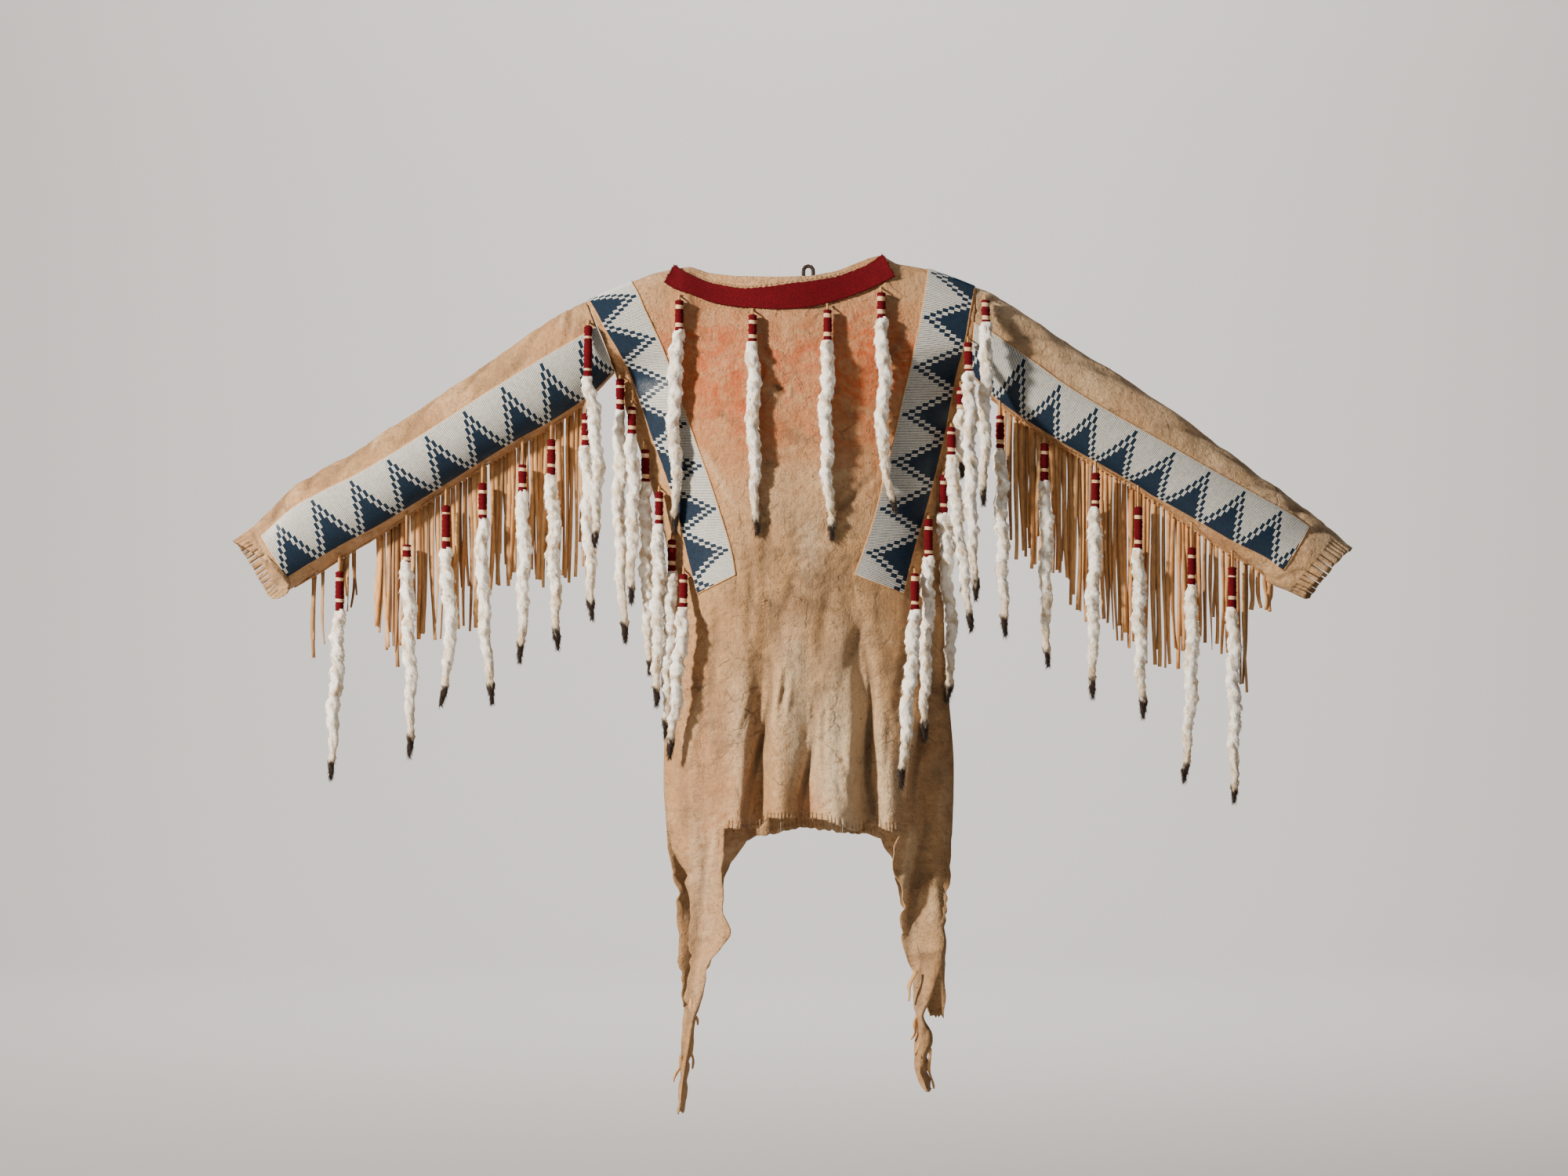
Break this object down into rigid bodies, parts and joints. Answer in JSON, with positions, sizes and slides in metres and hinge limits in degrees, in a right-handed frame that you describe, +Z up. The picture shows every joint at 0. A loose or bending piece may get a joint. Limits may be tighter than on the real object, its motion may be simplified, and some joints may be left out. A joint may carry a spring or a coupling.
{
  "type": "plains war shirt on a hanger",
  "caption": "Hide war shirt on a rod hanger: open sides, leg tabs, fringed sleeves, zigzag bead strips, red wool neck band and ermine drops; it hangs from the hanger's loop.",
  "frame": {"origin": "top of the inside of the hanger's loop, where a hook carries the hanger", "axes": "+X to the right seen from the front, -Y out of the shirt's front, +Z up"},
  "size_m": [1.599, 0.2184, 1.2194],
  "materials": {
    "hide": "smoke-tanned hide, matt, rubbed with red ochre at the chest",
    "thong": "cut hide fringe, matt",
    "wool": "red trade wool, fulled nap",
    "beads": "small opaque glass beads, white and dark blue",
    "fur": "white ermine fur with black tail tips, red wool wraps",
    "rod": "dark brown satin rod"
  },
  "bodies": {
    "root": {"hide_front": "hide", "hide_back": "hide", "sleeve_left": "hide", "sleeve_right": "hide", "neck_band": "wool", "shoulder_strip_left": "beads", "shoulder_strip_right": "beads", "sleeve_strip_left": "beads", "sleeve_strip_right": "beads", "sleeve_fringe_left": "thong", "sleeve_fringe_right": "thong", "hanger": "rod", "drop_neck_1": "fur", "drop_neck_2": "fur", "drop_neck_3": "fur", "drop_neck_4": "fur", "drop_sleeve_left_1": "fur", "drop_sleeve_left_2": "fur", "drop_sleeve_left_3": "fur", "drop_sleeve_left_4": "fur", "drop_sleeve_left_5": "fur", "drop_sleeve_left_6": "fur", "drop_sleeve_left_7": "fur", "drop_sleeve_left_8": "fur", "drop_strip_left_1": "fur", "drop_strip_left_2": "fur", "drop_strip_left_3": "fur", "drop_strip_left_4": "fur", "drop_strip_left_5": "fur", "drop_strip_left_6": "fur", "drop_sleeve_right_1": "fur", "drop_sleeve_right_2": "fur", "drop_sleeve_right_3": "fur", "drop_sleeve_right_4": "fur", "drop_sleeve_right_5": "fur", "drop_sleeve_right_6": "fur", "drop_sleeve_right_7": "fur", "drop_sleeve_right_8": "fur", "drop_strip_right_1": "fur", "drop_strip_right_2": "fur", "drop_strip_right_3": "fur", "drop_strip_right_4": "fur", "drop_strip_right_5": "fur"}
  },
  "joints": []
}
